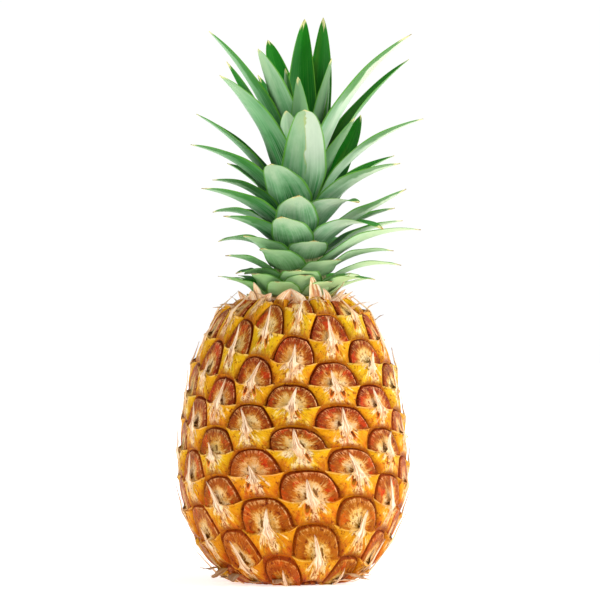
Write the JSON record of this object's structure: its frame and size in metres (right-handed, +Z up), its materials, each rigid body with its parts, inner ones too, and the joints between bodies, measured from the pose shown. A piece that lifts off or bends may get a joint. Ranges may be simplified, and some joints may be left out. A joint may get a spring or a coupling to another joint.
{
  "type": "pineapple",
  "caption": "Whole ripe unpeeled pineapple standing on its base, with a spiny golden-orange rind and a crown of stiff green leaves.",
  "frame": {"origin": "on the surface that the fruit stands on, under the fruit's axis", "axes": "+Z up along the fruit's axis from its base to its crown, -Y towards the side that the picture shows, +X to that view's right"},
  "size_m": [0.1331, 0.1404, 0.3069],
  "materials": {
    "rind": "brown-orange eyes with golden yellow bracts and papery tips, faintly waxy",
    "stem": "pale green fibrous stem",
    "leaf": "tough waxy leaf, grey-green outside and darker green inside"
  },
  "bodies": {
    "root": {"fruit": "rind", "crown_stem": "stem", "leaf_01": "leaf", "leaf_02": "leaf", "leaf_03": "leaf", "leaf_04": "leaf", "leaf_05": "leaf", "leaf_06": "leaf", "leaf_07": "leaf", "leaf_08": "leaf", "leaf_09": "leaf", "leaf_10": "leaf", "leaf_11": "leaf", "leaf_12": "leaf", "leaf_13": "leaf", "leaf_14": "leaf", "leaf_15": "leaf", "leaf_16": "leaf", "leaf_17": "leaf", "leaf_18": "leaf", "leaf_19": "leaf", "leaf_20": "leaf", "leaf_21": "leaf", "leaf_22": "leaf", "leaf_23": "leaf", "leaf_24": "leaf", "leaf_25": "leaf", "leaf_26": "leaf", "leaf_27": "leaf", "leaf_28": "leaf", "leaf_29": "leaf", "leaf_30": "leaf", "leaf_31": "leaf", "leaf_32": "leaf", "leaf_33": "leaf", "leaf_34": "leaf", "leaf_35": "leaf", "leaf_36": "leaf", "leaf_37": "leaf", "leaf_38": "leaf", "leaf_39": "leaf", "leaf_40": "leaf", "leaf_41": "leaf", "leaf_42": "leaf", "leaf_43": "leaf", "leaf_44": "leaf", "leaf_45": "leaf", "leaf_46": "leaf", "leaf_47": "leaf", "leaf_48": "leaf", "leaf_49": "leaf", "leaf_50": "leaf", "leaf_51": "leaf", "leaf_52": "leaf", "leaf_53": "leaf", "leaf_54": "leaf", "leaf_55": "leaf", "leaf_56": "leaf", "leaf_57": "leaf", "leaf_58": "leaf"}
  },
  "joints": []
}
